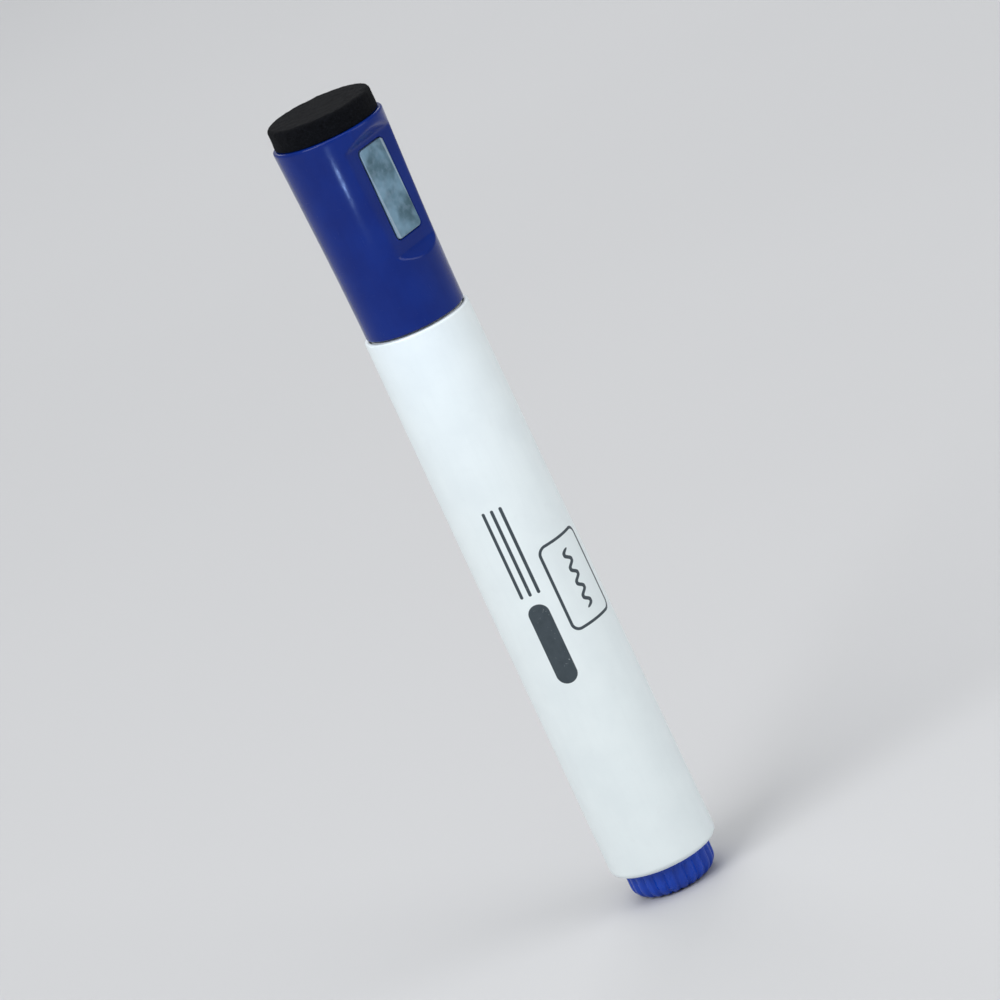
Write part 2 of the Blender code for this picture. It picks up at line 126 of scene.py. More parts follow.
# Nib and ink core
NIB_RADIUS = 2.15 * MM
NIB_ROW_HEIGHT = 0.4 * MM
NIB_TIP_LENGTH = 2.8 * MM
NIB_TIP_FULLNESS = 0.72  # below 1, the tip is blunter than an ellipse
NIB_REAR_CHAMFER = 0.7 * MM
NIB_WEAR = 0.12 * MM
NIB_WEAR_BEARING = math.radians(40)
NIB_GRAIN = (0.02 * MM, 9, 4 * MM)  # how high it stands, how fine it is around, and its length along the nib
CORE_RADIUS = 6.08 * MM
CORE_ROW_HEIGHT = 1.2 * MM
CORE_FILLET = 0.6 * MM
CORE_GRAIN = (0.09 * MM, 14, 9 * MM)
NIB_SOCKET_DEPTH = 5.0 * MM

# Cap
CAP_MOUTH_RADIUS = 8.2 * MM
CAP_FLARE = 0.95 * MM
CAP_FLARE_POWER = 1.5
CAP_RIM_FILLET = 0.4 * MM
CAP_BORE_RADIUS = 7.35 * MM
CAP_BORE_LENGTH = 8.2 * MM
CHAMBER_RADIUS = 4.5 * MM
SHOULDER_RADIUS = 5.7 * MM
SHOULDER_DEPTH = 1.1 * MM
SNAP_GROOVE_DEPTH = 0.2 * MM
WEB_GAP = 0.3 * MM
WEB_THICKNESS = 1.0 * MM
HOLDER_SEAT_WIDTH = 1.45 * MM
HOLDER_SEAT_DEPTH = 1.5 * MM
STRAIGHT_MOUTH = 0.8 * MM

# Flat on the cap, which the magnet is let into
FLAT_BELOW_MAGNET = 2.4 * MM
FLAT_ABOVE_MAGNET = 0.9 * MM
FLAT_RAMP_BOTTOM = 1.4 * MM
FLAT_RAMP_TOP = 1.9 * MM
FLAT_CORNER = 0.35 * MM  # how softly the flat meets the round outside
FLAT_REACH = math.radians(75)  # the outside is round beyond this bearing
RAMP_BLEND = 0.4 * MM
MAGNET_PROUD = 0.1 * MM
MAGNET_CORNER = 0.7 * MM
MAGNET_EASE = 0.12 * MM
POCKET_GAP = 0.14 * MM
POCKET_LIP = 0.16 * MM
POCKET_FLOOR_GAP = 0.25 * MM

# Seal inside the cap
SEAL_INNER_RADIUS = 3.5 * MM
SEAL_OUTER_RADIUS = 4.2 * MM
SEAL_FLANGE_RADIUS = 5.4 * MM
SEAL_FLANGE_THICKNESS = 0.8 * MM
SEAL_CEILING = 0.8 * MM
SEAL_LIP_RISE = 1.2 * MM
SEAL_RING_RISE = 4.0 * MM

# Eraser felt
FELT_GAP = 0.06 * MM  # above the cap's rim
FELT_SHRINK = 0.14 * MM  # inside the CAD pad, to leave room for the nap
FELT_FILLET = 0.7 * MM
FELT_ROW_HEIGHT = 0.2 * MM
FELT_SIDES = 224
FELT_LUMPS = 0.07 * MM
FELT_LUMP_SIZE = 1.1 * MM
FELT_MATTING = 0.045 * MM
FELT_MATTING_SIZE = 0.33 * MM
HAIR_SEED = 7
HAIR_COUNT = 5200
HAIR_SHARE_ON_SIDE = 0.5
HAIR_LENGTHS = (0.1 * MM, 0.26 * MM)
HAIR_THICKNESSES = (0.007 * MM, 0.012 * MM)
HAIR_SPREAD = 0.9  # how far a hair's heading strays from straight out
HAIR_LEAST_RISE = 0.15  # a hair that lies flatter than this is turned outwards
HAIR_CURL = 0.5
HAIR_TAPER = 0.25  # share of its thickness that a hair loses at each step
HAIR_STEPS = 3
HAIR_SIDES = 3

# Print on the barrel, in millimetres: bars along the marker, and a pictogram of a board with a stroke on it
BAR_BEARING = math.radians(-58)
SOLID_BAR = (46.3, 5.2, 1.7)  # height of its middle, half its straight length, half its width
THIN_BARS = (62.3, 7.3, 0.26)  # the same for each thin bar
THIN_BAR_OFFSETS = (-1.42, 0.0, 1.42)
BOARD_BEARING = math.radians(-4)
BOARD_MIDDLE = 53.8
BOARD_HALF_SIZE = (4.3, 7.2)
BOARD_CORNER = 1.3
BOARD_LINE_HALF_WIDTH = 0.24
STROKE_HALF_LENGTH = 4.8
STROKE_HALF_WIDTH = 0.3
STROKE_SWING = 0.5
STROKE_WAVES = 2.6  # radians for each millimetre along the marker
PRINT_SOFTNESS = 0.04
PRINT_ROUGHNESS = 0.12  # rougher than the plastic by this much

# Ink stains on the nose, in millimetres below its top
STAINS_START = 4.0
STAINS_FULL = 0.5

# Colours, linear
CAP_BLUE = (0.0015, 0.019, 0.175)
CAP_BLUE_DEEP = (0.001, 0.0135, 0.138)
PLUG_BLUE = (0.002, 0.047, 0.42)
PLUG_BLUE_DEEP = (0.0015, 0.03, 0.29)
WHITE = (0.8, 0.87, 0.88)
WHITE_SHADE = (0.755, 0.825, 0.84)
NOSE_WHITE = (0.7, 0.72, 0.715)
NOSE_SHADE = (0.62, 0.65, 0.655)
SOFT_WHITE = (0.74, 0.76, 0.76)
SOFT_SHADE = (0.66, 0.69, 0.7)
INK = (0.012, 0.03, 0.24)
GRIME = (0.6, 0.62, 0.63)
SEAL_STAIN = (0.2, 0.27, 0.55)
PRINT_DARK = (0.022, 0.035, 0.045)
PRINT_PALE = (0.05, 0.07, 0.085)
MAGNET_DARK = (0.065, 0.135, 0.175)
MAGNET_PALE = (0.185, 0.32, 0.42)
MAGNET_SPOT = (0.3, 0.42, 0.54)
MAGNET_WORN = (0.45, 0.55, 0.64)
# Felt and fuzz: the second colour of each is a painted highlight on their raised fibres
FELT_DARK = (0.0014, 0.0016, 0.0022)
FELT_PAINTED_HIGHLIGHT = (0.0075, 0.0085, 0.011)
FELT_DUST = (0.02, 0.024, 0.04)
FUZZ_DARK = (0.004, 0.0042, 0.005)
FUZZ_PAINTED_HIGHLIGHT = (0.014, 0.015, 0.018)
NIB_DRY = (0.025, 0.045, 0.28)
NIB_WET = (0.005, 0.01, 0.075)
CORE_DRY = (0.12, 0.18, 0.5)
CORE_WET = (0.02, 0.04, 0.26)
FILM_BLUE = (0.3, 0.38, 0.62)
FILM_CLEAR = (0.62, 0.68, 0.8)
# the first foam colour is painted shade in the pits of the cells
FOAM_PAINTED_PIT_SHADE = (0.5, 0.47, 0.38)
FOAM_CREAM = (0.68, 0.65, 0.56)
FLOOR_PALE = (0.53, 0.535, 0.545)
FLOOR_SHADE = (0.505, 0.51, 0.52)

# Studio
FLOOR_RADIUS = 9.0
FLOOR_DROP = 0.02 * MM  # how far it lies below the tail plug's end
FLOOR_ROUGHNESS = 0.7
WORLD_COLOUR = (0.95, 0.97, 1.0)
WORLD_BRIGHTNESS = 0.36
OVERHEAD_BRIGHTNESS = 1.0
OVERHEAD_ELEVATION = math.radians(80)
OVERHEAD_SPREAD = math.radians(45)
STREAK_HEIGHT = 114.6 * MM  # of the place on the cap that the smallest light makes shine
STREAK_BLUE = (0.4, 0.6, 1.0)

barrel_low, barrel_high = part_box("barrel")
cap_low, cap_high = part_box("cap_shell")
_, plug_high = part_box("tail_plug")
nose_low, nose_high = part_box("nose_section")
nib_low, nib_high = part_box("nib")
core_low, core_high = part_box("ink_reservoir")
seal_low, seal_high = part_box("cap_seal")
magnet_low, magnet_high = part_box("magnet")
_, felt_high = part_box("eraser_felt")

barrel_tail = barrel_low.z
barrel_front = barrel_high.z
snap_height = barrel_front + SNAP_RISE
cap_mouth = cap_low.z
cap_rim = cap_high.z
cap_rim_radius = CAP_MOUTH_RADIUS + CAP_FLARE
magnet_width = magnet_high.x - magnet_low.x
magnet_length = magnet_high.z - magnet_low.z
magnet_middle = (magnet_low.z + magnet_high.z) / 2
flat_offset = -magnet_low.y - MAGNET_PROUD
flat_bottom = magnet_low.z - FLAT_BELOW_MAGNET
flat_top = magnet_high.z + FLAT_ABOVE_MAGNET
felt_base = cap_rim + FELT_GAP
felt_top = felt_high.z - FELT_SHRINK
felt_radius = felt_high.x - FELT_SHRINK


# Shapes


def around(bearing):
    """Unit vector that points away from the marker's axis."""
    return Vector((math.sin(bearing), -math.cos(bearing), 0))


def rounded(corners):
    """The outline's points (radius, height) from corners given as (radius, height, fillet radius)."""
    points = []
    for index, (radius, height, fillet) in enumerate(corners):
        corner = Vector((radius, height))
        if fillet == 0:
            points.append(corner)
            continue
        before = (Vector(corners[index - 1][:2]) - corner).normalized()
        after = (Vector(corners[(index + 1) % len(corners)][:2]) - corner).normalized()
        half_angle = before.angle(after) / 2
        centre = corner + (before + after).normalized() * fillet / math.sin(half_angle)
        reach = fillet / math.tan(half_angle)
        first = corner + before * reach - centre
        last = corner + after * reach - centre
        start = math.atan2(first.y, first.x)
        sweep = math.remainder(math.atan2(last.y, last.x) - start, TURN)
        for step in range(ARC_STEPS + 1):
            angle = start + sweep * step / ARC_STEPS
            points.append(centre + fillet * Vector((math.cos(angle), math.sin(angle))))
    return points


def subdivided(points, spacing):
    """The same outline with extra points, so that no straight stretch is longer than the spacing."""
    dense = []
    for here, there in zip(points, points[1:]):
        count = max(1, math.ceil((there - here).length / spacing))
        dense.extend(here.lerp(there, step / count) for step in range(count))
    return [*dense, points[-1]]


def smooth_min(first, second, width):
    """The smaller value, with a soft change from one to the other."""
    share = min(1.0, max(0.0, 0.5 + 0.5 * (second - first) / width))
    return second + (first - second) * share - width * share * (1 - share)


def lathed(outline, sides, shape=None, closed=False):
    """A bmesh of the outline turned about Z, whose last ring meets its first if it is closed.

    shape(radius, bearing, height) may change a point's radius."""
    bm = bmesh.new()
    rings = []
    for radius, height in outline:
        if radius < MERGE_DISTANCE:
            rings.append([bm.verts.new((0, 0, height))])
            continue
        ring = []
        for side in range(sides):
            bearing = TURN * side / sides
            reach = shape(radius, bearing, height) if shape else radius
            ring.append(bm.verts.new(around(bearing) * reach + Vector((0, 0, height))))
        rings.append(ring)
    pairs = list(zip(rings, rings[1:]))
    if closed:
        pairs.append((rings[-1], rings[0]))
    for lower, upper in pairs:
        for side in range(sides):
            after = (side + 1) % sides
            corners = [lower[side % len(lower)], lower[after % len(lower)]]
            corners += [upper[after % len(upper)], upper[side % len(upper)]]
            bm.faces.new(dict.fromkeys(corners))
    return bm


def fibre_grain(bearing, height, grain):
    """How far drawn fibres stand out: it changes quickly around the axis and slowly along it."""
    rise, fineness, length = grain
    around_axis = (fineness * math.sin(bearing), fineness * math.cos(bearing))
    return rise * noise.noise(Vector((*around_axis, height / length)))


def add_piece(name, bm, material, body, node, replaced=True):
    """A smooth-shaded piece from a bmesh, which rides on the body and takes the place of the CAD node, hidden
    if replaced.
    """
    bmesh.ops.remove_doubles(bm, verts=bm.verts, dist=MERGE_DISTANCE)
    bmesh.ops.recalc_face_normals(bm, faces=bm.faces)
    mesh = bpy.data.meshes.new(name)
    bm.to_mesh(mesh)
    bm.free()
    mesh.shade_smooth()
    mesh.set_sharp_from_angle(angle=SHARP_ANGLE)
    mesh.materials.append(material)
    piece = bpy.data.objects.new(name, mesh)
    bpy.context.scene.collection.objects.link(piece)
    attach(piece, body)
    if replaced:
        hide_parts(node)
    return piece


# Shader nodes


class Shader:
    """A material's nodes. The surface's coordinates are in millimetres."""

    def __init__(self, name):
        self.material = bpy.data.materials.new(name)
        self.material.use_nodes = True
        self.nodes = self.material.node_tree.nodes
        self.links = self.material.node_tree.links
        self.surface = self.nodes["Principled BSDF"]
        coordinates = self.nodes.new("ShaderNodeTexCoord")
        scaled = self.nodes.new("ShaderNodeVectorMath")
        scaled.operation = "SCALE"
        scaled.inputs["Scale"].default_value = 1 / MM
        self.links.new(coordinates.outputs["Object"], scaled.inputs[0])
        self.place = scaled.outputs["Vector"]

    def feed(self, socket, value):
        if isinstance(value, bpy.types.NodeSocket):
            self.links.new(value, socket)
        else:
            socket.default_value = value

    def set(self, **values):
        """Sets or links the surface's own sockets, for instance Base_Color."""
        for name, value in values.items():
            self.feed(self.surface.inputs[name.replace("_", " ")], value)

    def math(self, operation, first, second=0.0):
        node = self.nodes.new("ShaderNodeMath")
        node.operation = operation
        self.feed(node.inputs[0], first)
        self.feed(node.inputs[1], second)
        return node.outputs["Value"]

    def add(self, first, second):
        return self.math("ADD", first, second)

    def subtract(self, first, second):
        return self.math("SUBTRACT", first, second)

    def times(self, first, second):
        return self.math("MULTIPLY", first, second)

    def length(self, across, along):
        return self.math("SQRT", self.add(self.times(across, across), self.times(along, along)))

    def past(self, value, limit):
        """How far the value's size goes past the limit, and 0 inside it."""
        return self.math("MAXIMUM", self.subtract(self.math("ABSOLUTE", value), limit), 0.0)

    def stretched(self, x, y, z):
        node = self.nodes.new("ShaderNodeMapping")
        node.inputs["Scale"].default_value = (x, y, z)
        self.links.new(self.place, node.inputs["Vector"])
        return node.outputs["Vector"]

    def noise(self, scale, detail=3.0, roughness=0.5, place=None, distortion=0.0):
        node = self.nodes.new("ShaderNodeTexNoise")
        node.inputs["Scale"].default_value = scale
        node.inputs["Detail"].default_value = detail
        node.inputs["Roughness"].default_value = roughness
        node.inputs["Distortion"].default_value = distortion
        self.links.new(place or self.place, node.inputs["Vector"])
        return node.outputs["Fac"]

    def cells(self, scale):
        node = self.nodes.new("ShaderNodeTexVoronoi")
        node.inputs["Scale"].default_value = scale
        self.links.new(self.place, node.inputs["Vector"])
        return node.outputs["Distance"]

    def levels(self, value, between, to=(0.0, 1.0)):
        """Maps the value softly from one range onto another, and holds the ends."""
        node = self.nodes.new("ShaderNodeMapRange")
        node.interpolation_type = "SMOOTHSTEP"
        self.feed(node.inputs["Value"], value)
        node.inputs["From Min"].default_value = between[0]
        node.inputs["From Max"].default_value = between[1]
        node.inputs["To Min"].default_value = to[0]
        node.inputs["To Max"].default_value = to[1]
        return node.outputs["Result"]

    def mix(self, share, first, second):
        node = self.nodes.new("ShaderNodeMix")
        node.data_type = "RGBA"
        self.feed(node.inputs["Factor"], share)
        sockets = {socket.identifier: socket for socket in node.inputs}
        for identifier, colour in (("A_Color", first), ("B_Color", second)):
            is_socket = isinstance(colour, bpy.types.NodeSocket)
            self.feed(sockets[identifier], colour if is_socket else (*colour, 1.0))
        return next(socket for socket in node.outputs if socket.identifier == "Result_Color")

    def bump(self, height, distance, under=None):
        node = self.nodes.new("ShaderNodeBump")
        node.inputs["Distance"].default_value = distance
        self.links.new(height, node.inputs["Height"])
        if under:
            self.links.new(under, node.inputs["Normal"])
        return node.outputs["Normal"]

    def position(self):
        node = self.nodes.new("ShaderNodeSeparateXYZ")
        self.links.new(self.place, node.inputs[0])
        return node.outputs["X"], node.outputs["Y"], node.outputs["Z"]

    def edge_wear(self):
        """1 on sharp outer edges, and 0 on flat and hollow surfaces."""
        geometry = self.nodes.new("ShaderNodeNewGeometry")
        return self.levels(geometry.outputs["Pointiness"], between=(0.52, 0.62))


# Materials


def plastic(name, colour, shade, roughness, gloss=0.5):
    """Moulded plastic: flow streaks in its colour, rubbed edges, smudges and hairline scratches in its gloss.

    Returns the shader, and its base colour and roughness for further layers."""
    shader = Shader(name)
    clouds = shader.levels(shader.noise(0.16, detail=4.0), between=(0.3, 0.75), to=(0.0, 0.75))
    flow = shader.noise(1.0, place=shader.stretched(1.1, 1.1, 0.08))
    streaks = shader.levels(flow, between=(0.45, 0.8), to=(0.0, 0.35))
    base = shader.mix(streaks, shader.mix(clouds, colour, shade), shade)
    rubbed = tuple(min(1.0, channel * 1.4 + 0.004) for channel in colour)
    base = shader.mix(shader.times(shader.edge_wear(), 0.4), base, rubbed)
    along = shader.noise(1.0, detail=2.0, place=shader.stretched(7.0, 7.0, 0.4), distortion=0.5)
    across = shader.noise(1.0, detail=2.0, place=shader.stretched(0.8, 0.8, 9.0), distortion=0.8)
    scratches = shader.math(
        "MAXIMUM",
        shader.levels(along, between=(0.7, 0.76)),
        shader.levels(across, between=(0.71, 0.77)),
    )
    smudges = shader.levels(shader.noise(0.35, detail=5.0, roughness=0.6), between=(0.4, 0.72), to=(0.0, 0.1))
    rough = shader.add(shader.add(smudges, roughness), shader.times(scratches, 0.1))
    peel = shader.bump(shader.noise(1.3, detail=2.0), 0.01 * MM)
    relief = shader.bump(shader.times(scratches, -1.0), 0.004 * MM, under=peel)
    shader.set(Base_Color=base, Roughness=rough, Normal=relief, Specular_IOR_Level=gloss)
    return shader, base, rough


def cap_material():
    shader, _, _ = plastic("cap_blue_plastic", CAP_BLUE, CAP_BLUE_DEEP, roughness=0.16, gloss=0.2)
    return shader.material


def plug_material():
    shader, _, _ = plastic("plug_blue_plastic", PLUG_BLUE, PLUG_BLUE_DEEP, roughness=0.26, gloss=0.35)
    return shader.material


def nose_material():
    """White plastic, stained with dried ink around the nib holder."""
    shader, base, _ = plastic("nose_white_plastic", NOSE_WHITE, NOSE_SHADE, roughness=0.3)
    _, _, height = shader.position()
    top = nose_high.z / MM
    near_nib = shader.levels(height, between=(top - STAINS_START, top - STAINS_FULL))
    spread = shader.noise(0.7, detail=6.0, roughness=0.65)
    blotches = shader.levels(spread, between=(0.46, 0.6), to=(0.0, 0.9))
    shader.set(Base_Color=shader.mix(shader.times(near_nib, blotches), base, INK))
    return shader.material


def within(shader, distance, half_width):
    """1 where the distance is under the half width, with the print's soft edge."""
    limits = (half_width - PRINT_SOFTNESS, half_width + PRINT_SOFTNESS)
    return shader.levels(distance, between=limits, to=(1.0, 0.0))


def bar_mask(shader, across, along, half_length, half_width):
    """1 inside a bar with round ends that lies along the marker."""
    return within(shader, shader.length(across, shader.past(along, half_length)), half_width)


def board_mask(shader, across, along):
    """1 on the outline of a rectangle with round corners, and on a wavy stroke inside it."""
    straight_across, straight_along = (half - BOARD_CORNER for half in BOARD_HALF_SIZE)
    corner = shader.length(shader.past(across, straight_across), shader.past(along, straight_along))
    inner = shader.math(
        "MAXIMUM",
        shader.subtract(shader.math("ABSOLUTE", across), straight_across),
        shader.subtract(shader.math("ABSOLUTE", along), straight_along),
    )
    distance = shader.subtract(shader.add(corner, shader.math("MINIMUM", inner, 0.0)), BOARD_CORNER)
    outline = within(shader, shader.math("ABSOLUTE", distance), BOARD_LINE_HALF_WIDTH)
    phase = shader.times(along, STROKE_WAVES)
    swing = shader.times(shader.math("SINE", phase), STROKE_SWING)
    slope = shader.times(shader.math("COSINE", phase), STROKE_SWING * STROKE_WAVES)
    offset = shader.math("DIVIDE", shader.subtract(across, swing), shader.length(slope, 1.0))
    stroke = bar_mask(shader, offset, along, STROKE_HALF_LENGTH, STROKE_HALF_WIDTH)
    return shader.math("MAXIMUM", outline, stroke)


def print_mask(shader):
    """1 on the printed bars and pictogram, which are laid out on the barrel unrolled at its front radius."""
    x, y, height = shader.position()
    radius = BARREL_FRONT_RADIUS / MM
    bearing = shader.math("ARCTAN2", x, shader.times(y, -1.0))
    round_length = shader.times(bearing, radius)
    across = shader.subtract(round_length, BAR_BEARING * radius)
    middle, half_length, half_width = SOLID_BAR
    printed = bar_mask(shader, across, shader.subtract(height, middle), half_length, half_width)
    middle, half_length, half_width = THIN_BARS
    along = shader.subtract(height, middle)
    for offset in THIN_BAR_OFFSETS:
        thin = bar_mask(shader, shader.subtract(across, offset), along, half_length, half_width)
        printed = shader.math("MAXIMUM", printed, thin)
    across = shader.subtract(round_length, BOARD_BEARING * radius)
    board = board_mask(shader, across, shader.subtract(height, BOARD_MIDDLE))
    return shader.math("MAXIMUM", printed, board)


def barrel_material():
    """White plastic, a little grimy, with a plain print that is rubbed thin in places."""
    shader, base, rough = plastic("barrel_white_plastic", WHITE, WHITE_SHADE, roughness=0.3)
    grime = shader.levels(shader.noise(0.5, detail=6.0, roughness=0.65), between=(0.55, 0.8), to=(0.0, 0.1))
    base = shader.mix(grime, base, GRIME)
    left = shader.levels(shader.noise(1.8, detail=5.0, roughness=0.7), between=(0.2, 0.36), to=(0.35, 1.0))
    printed = shader.times(print_mask(shader), left)
    ink = shader.mix(shader.noise(0.8), PRINT_DARK, PRINT_PALE)
    shader.set(Base_Color=shader.mix(printed, base, ink))
    shader.set(Roughness=shader.add(rough, shader.times(printed, PRINT_ROUGHNESS)))
    return shader.material


def magnet_material():
    """Dull nickel plating: clouded, faintly brushed along its length, and bright where its edges are worn."""
    shader = Shader("magnet_plating")
    clouds = shader.levels(shader.noise(0.3, detail=2.0, distortion=0.2), between=(0.3, 0.7))
    spots = shader.levels(shader.noise(1.1), between=(0.42, 0.72), to=(0.0, 0.25))
    brushed = shader.noise(1.0, place=shader.stretched(14.0, 14.0, 0.7))
    base = shader.mix(clouds, MAGNET_DARK, MAGNET_PALE)
    base = shader.mix(spots, base, MAGNET_SPOT)
    base = shader.mix(shader.times(shader.edge_wear(), 0.6), base, MAGNET_WORN)
    rough = shader.add(shader.levels(clouds, between=(0.0, 1.0), to=(0.3, 0.42)), shader.times(brushed, 0.2))
    dents = shader.bump(shader.noise(0.7), 0.03 * MM)
    relief = shader.bump(brushed, 0.008 * MM, under=dents)
    shader.set(Base_Color=base, Roughness=rough, Metallic=0.55, Normal=relief)
    return shader.material


def felt_material(name, dark, light):
    """Pressed felt: matted fibres with a faint sheen and specks of dry ink dust; its raised matting and
    strands are painted lighter, a painted highlight.
    """
    shader = Shader(name)
    matted = shader.noise(2.4, detail=6.0, roughness=0.7, distortion=1.6)
    strands = shader.noise(
        1.0, detail=5.0, roughness=0.7, place=shader.stretched(9.0, 3.0, 3.0), distortion=2.2
    )
    # painted highlight: the light colour goes where the matting stands up, the dark one in its hollows
    base = shader.mix(shader.levels(matted, between=(0.35, 0.7)), dark, light)
    # painted highlight along the raised strands
    base = shader.mix(shader.levels(strands, between=(0.55, 0.75), to=(0.0, 0.6)), base, light)
    dust = shader.levels(shader.noise(1.1, detail=6.0, roughness=0.75), between=(0.64, 0.8), to=(0.0, 0.3))
    base = shader.mix(dust, base, FELT_DUST)
    lumps = shader.bump(matted, 0.09 * MM)
    relief = shader.bump(strands, 0.05 * MM, under=lumps)
    rough = shader.levels(matted, between=(0.3, 0.7), to=(0.86, 1.0))
    shader.set(Base_Color=base, Roughness=rough, Normal=relief)
    shader.set(Specular_IOR_Level=0.04, Sheen_Weight=0.025, Sheen_Roughness=0.5)
    return shader.material


def fibre_material(name, dry, wet):
    """Drawn fibres along the marker, soaked with ink."""
    shader = Shader(name)
    strands = shader.noise(
        1.0, detail=4.0, roughness=0.65, place=shader.stretched(6.0, 6.0, 0.3), distortion=0.3
    )
    soaked = shader.levels(shader.noise(0.5, detail=4.0), between=(0.3, 0.7), to=(0.0, 0.5))
    base = shader.mix(soaked, shader.mix(shader.levels(strands, between=(0.4, 0.62)), wet, dry), wet)
    rough = shader.levels(strands, between=(0.3, 0.7), to=(0.55, 0.85))
    relief = shader.bump(strands, 0.14 * MM)
    shader.set(Base_Color=base, Roughness=rough, Normal=relief, Specular_IOR_Level=0.25)
    return shader.material


def seal_material():
    """Soft white plastic, with ink that has crept over it in patches."""
    shader, base, _ = plastic("seal_polyethylene", SOFT_WHITE, SOFT_SHADE, roughness=0.42)
    inked = shader.levels(shader.noise(0.7, detail=5.0, roughness=0.6), between=(0.5, 0.75), to=(0.0, 0.5))
    shader.set(Base_Color=shader.mix(inked, base, SEAL_STAIN))
    return shader.material


def film_material():
    """Film over the core: wrinkled, and bluer between its wrinkles, where the wet core shows through."""
    shader = Shader("sleeve_film")
    wrinkles = shader.noise(1.0, detail=4.0, place=shader.stretched(1.4, 1.4, 0.25), distortion=1.2)
    base = shader.mix(shader.levels(wrinkles, between=(0.35, 0.7)), FILM_BLUE, FILM_CLEAR)
    rough = shader.levels(wrinkles, between=(0.3, 0.7), to=(0.1, 0.3))
    shader.set(Base_Color=base, Roughness=rough, Normal=shader.bump(wrinkles, 0.04 * MM))
    return shader.material


def adhesive_material():
    """Cream foam tape with open cells, painted darker in their pits as painted shade."""
    shader = Shader("foam_tape")
    cells = shader.cells(3.5)
    # painted shade: darker in the cells' pits, where the bump sinks
    base = shader.mix(shader.levels(cells, between=(0.1, 0.7)), FOAM_PAINTED_PIT_SHADE, FOAM_CREAM)
    rough = shader.levels(cells, between=(0.0, 0.8), to=(0.55, 0.85))
    shader.set(Base_Color=base, Roughness=rough, Normal=shader.bump(cells, 0.04 * MM))
    return shader.material


def holder_material():
    shader, _, _ = plastic("holder_blue_plastic", CAP_BLUE, CAP_BLUE_DEEP, roughness=0.35)
    return shader.material


# Pieces on the barrel


def make_barrel():
    """The tube, with the socket for the tail plug and the seat for the nose's flange."""
    seat_floor = barrel_front - FLANGE_SEAT_DEPTH
    socket_end = plug_high.z + TAIL_SOCKET_CLEARANCE
    outline = rounded([
        (TAIL_SOCKET_RADIUS, barrel_tail, EDGE),
        (BARREL_TAIL_RADIUS, barrel_tail, BARREL_TAIL_FILLET),
        (BARREL_FRONT_RADIUS, barrel_front, SOFT_EDGE),
        (FLANGE_SEAT_RADIUS, barrel_front, EDGE),
        (FLANGE_SEAT_RADIUS, seat_floor, 0),
        (BORE_RADIUS, seat_floor, EDGE),
        (BORE_RADIUS, socket_end, EDGE),
        (TAIL_SOCKET_RADIUS, socket_end, 0),
    ])

    def parting_lines(radius, bearing, height):
        """Two hairline ridges outside, where the mould's halves met."""
        if radius < BARREL_FRONT_RADIUS - EDGE or height > barrel_front - 2 * SOFT_EDGE:
            return radius
        off = math.sin(bearing - PARTING_BEARING) * radius / PARTING_WIDTH
        return radius + PARTING_RIDGE * math.exp(-(off**2))

    bm = lathed(outline, OUTER_SIDES, parting_lines, closed=True)
    add_piece("barrel_tube", bm, barrel_material(), "barrel_body", "barrel")


def make_nose():
    """Stem, flange, snap bead, hollow-sided cone and vented nib holder, with the nib's tube inside."""
    low, top = nose_low.z, nose_high.z
    cone_bottom = barrel_front + CAP_SEAT_LENGTH
    cone_top = top - NIB_HOLDER_LENGTH
    stem_bore = STEM_RADIUS - STEM_WALL
    shoulder = CAP_SEAT_RADIUS - SOFT_EDGE
    cone = []
    for step in range(1, CONE_STEPS):
        share = step / CONE_STEPS
        narrowing = 1 - (1 - share) ** CONE_CURVE
        radius = shoulder - (shoulder - NIB_HOLDER_RADIUS) * narrowing
        cone.append((radius, cone_bottom + (cone_top - cone_bottom) * share, 0))
    outline = rounded([
        (stem_bore, low, EDGE),
        (STEM_RADIUS, low, SOFT_EDGE),
        (STEM_RADIUS, barrel_front - FLANGE_THICKNESS, 0),
        (FLANGE_RADIUS, barrel_front - FLANGE_THICKNESS, EDGE),
        (FLANGE_RADIUS, barrel_front, EDGE),
        (CAP_SEAT_RADIUS, barrel_front, EDGE),
        (CAP_SEAT_RADIUS, snap_height - SNAP_WIDTH / 2, 0),
        (CAP_SEAT_RADIUS + SNAP_HEIGHT, snap_height, SOFT_EDGE),
        (CAP_SEAT_RADIUS, snap_height + SNAP_WIDTH / 2, 0),
        (CAP_SEAT_RADIUS, cone_bottom, SOFT_EDGE),
        *cone,
        (NIB_HOLDER_RADIUS, cone_top, SOFT_EDGE),
        (NIB_HOLDER_RADIUS, top, SOFT_EDGE),
        (NIB_BORE_RADIUS, top, EDGE),
        (NIB_BORE_RADIUS, top - NIB_TUBE_DEPTH, EDGE),
        (NIB_HOLDER_RADIUS, top - NIB_TUBE_DEPTH, 0),
        (NIB_HOLDER_RADIUS, cone_bottom, SOFT_EDGE),
        (stem_bore, cone_bottom - STEM_WALL, SOFT_EDGE),
    ])

    def vented(radius, bearing, height):
        """Grooves along the nib's bore that let air in as the ink runs out."""
        if radius > NIB_BORE_RADIUS + EDGE or height < top - NIB_TUBE_DEPTH:
            return radius
        spread = TURN / VENT_GROOVES
        off = math.remainder(bearing - PARTING_BEARING, spread) * radius / (VENT_WIDTH / 2)
        return radius + VENT_DEPTH * max(0.0, 1 - off**4)

    bm = lathed(outline, OUTER_SIDES, vented, closed=True)
    add_piece("nose_moulding", bm, nose_material(), "barrel_body", "nose_section")


